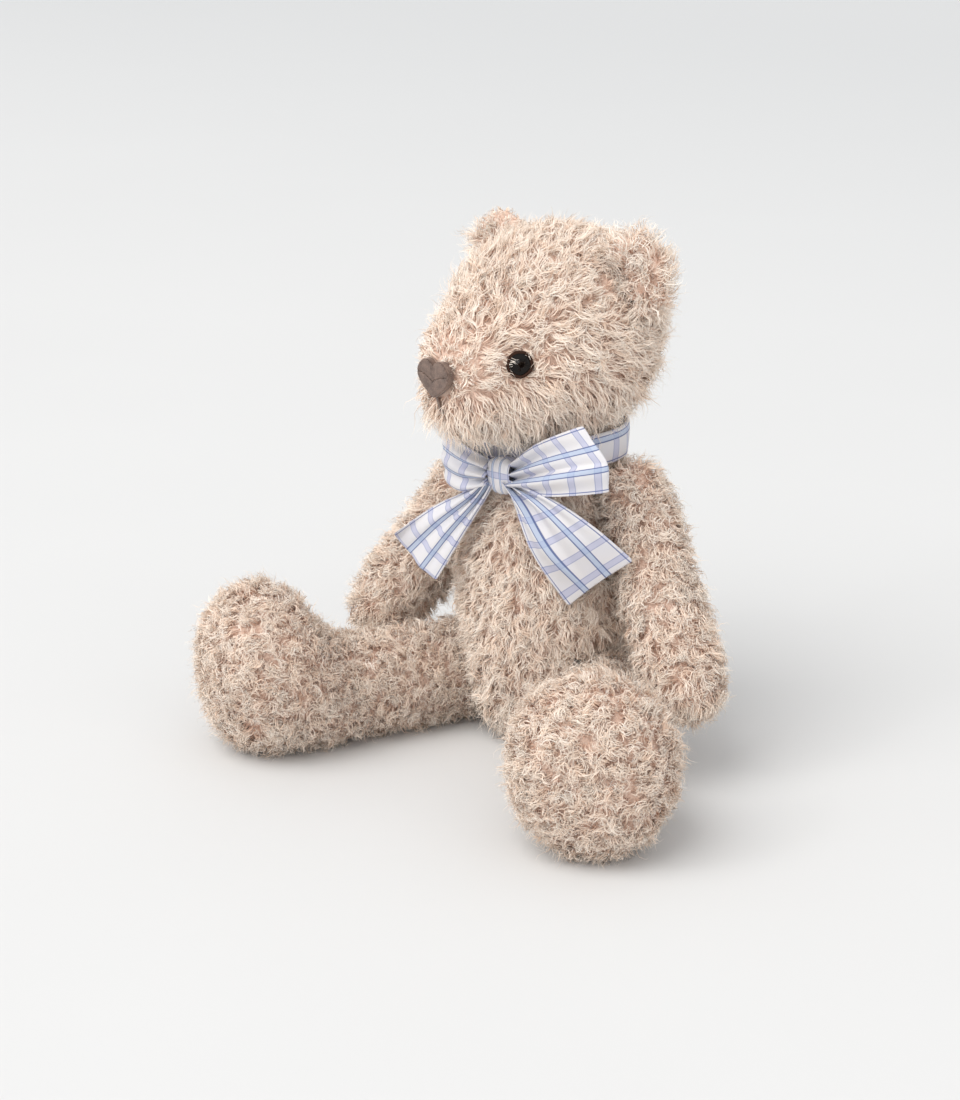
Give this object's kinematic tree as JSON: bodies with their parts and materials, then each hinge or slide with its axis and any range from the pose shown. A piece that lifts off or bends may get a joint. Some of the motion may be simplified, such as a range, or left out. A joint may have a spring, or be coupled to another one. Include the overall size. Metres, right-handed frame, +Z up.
{
  "type": "jointed teddy bear",
  "caption": "Sitting plush teddy bear with a turning head, swinging arms and legs on disc joints, and a check ribbon bow.",
  "frame": {"origin": "on the floor under the middle of the seat, where the sitting torso's flat seat rests", "axes": "+Z up, the bear faces -Y, and its left side is +X"},
  "size_m": [0.2694, 0.1891, 0.2576],
  "materials": {
    "plush": "curly plush pile, pale beige",
    "stuffing": "white polyester fibrefill",
    "joint_plastic": "moulded white plastic",
    "eye": "polished black",
    "nose_thread": "satin-stitched brown thread",
    "ribbon": "woven white and pale blue check"
  },
  "bodies": {
    "torso": {"hip_joint_washer_left": "joint_plastic", "hip_joint_washer_right": "joint_plastic", "neck_joint_washer": "joint_plastic", "ribbon_band": "ribbon", "ribbon_knot": "ribbon", "ribbon_loop_left": "ribbon", "ribbon_loop_right": "ribbon", "ribbon_tail_left": "ribbon", "ribbon_tail_right": "ribbon", "shoulder_joint_washer_left": "joint_plastic", "shoulder_joint_washer_right": "joint_plastic", "torso_cover": "plush", "torso_stuffing": "stuffing"},
    "head": {"ear_left": "plush", "ear_right": "plush", "eye_left": "eye", "eye_right": "eye", "eye_washer_left": "joint_plastic", "eye_washer_right": "joint_plastic", "head_cover": "plush", "head_stuffing": "stuffing", "mouth_stitch": "nose_thread", "neck_joint_disc": "joint_plastic", "neck_lock_washer": "joint_plastic", "nose": "nose_thread"},
    "arm_left": {"arm_cover_left": "plush", "arm_stuffing_left": "stuffing", "shoulder_joint_disc_left": "joint_plastic", "shoulder_lock_washer_left": "joint_plastic"},
    "arm_right": {"arm_cover_right": "plush", "arm_stuffing_right": "stuffing", "shoulder_joint_disc_right": "joint_plastic", "shoulder_lock_washer_right": "joint_plastic"},
    "leg_left": {"hip_joint_disc_left": "joint_plastic", "hip_lock_washer_left": "joint_plastic", "leg_cover_left": "plush", "leg_stuffing_left": "stuffing"},
    "leg_right": {"hip_joint_disc_right": "joint_plastic", "hip_lock_washer_right": "joint_plastic", "leg_cover_right": "plush", "leg_stuffing_right": "stuffing"}
  },
  "joints": [
    {"name": "neck_turn", "type": "hinge", "parent": "torso", "child": "head", "pos_m": [0, 0, 0.163], "axis": [0, 0, 1], "continuous": true},
    {"name": "shoulder_left_swing", "type": "hinge", "parent": "torso", "child": "arm_left", "pos_m": [0.03227, -0.003, 0.11749], "axis": [-0.8585, -0.3125, -0.4067], "range_deg": [-40, 64]},
    {"name": "shoulder_right_swing", "type": "hinge", "parent": "torso", "child": "arm_right", "pos_m": [-0.03227, -0.003, 0.11749], "axis": [-0.8585, 0.3125, 0.4067], "range_deg": [-43, 61]},
    {"name": "hip_left_swing", "type": "hinge", "parent": "torso", "child": "leg_left", "pos_m": [0.019, -0.01, 0.026], "axis": [0.8829, 0.4695, 0], "range_deg": [0, 90]},
    {"name": "hip_right_swing", "type": "hinge", "parent": "torso", "child": "leg_right", "pos_m": [-0.019, -0.01, 0.026], "axis": [0.8829, -0.4695, 0], "range_deg": [0, 90]}
  ]
}
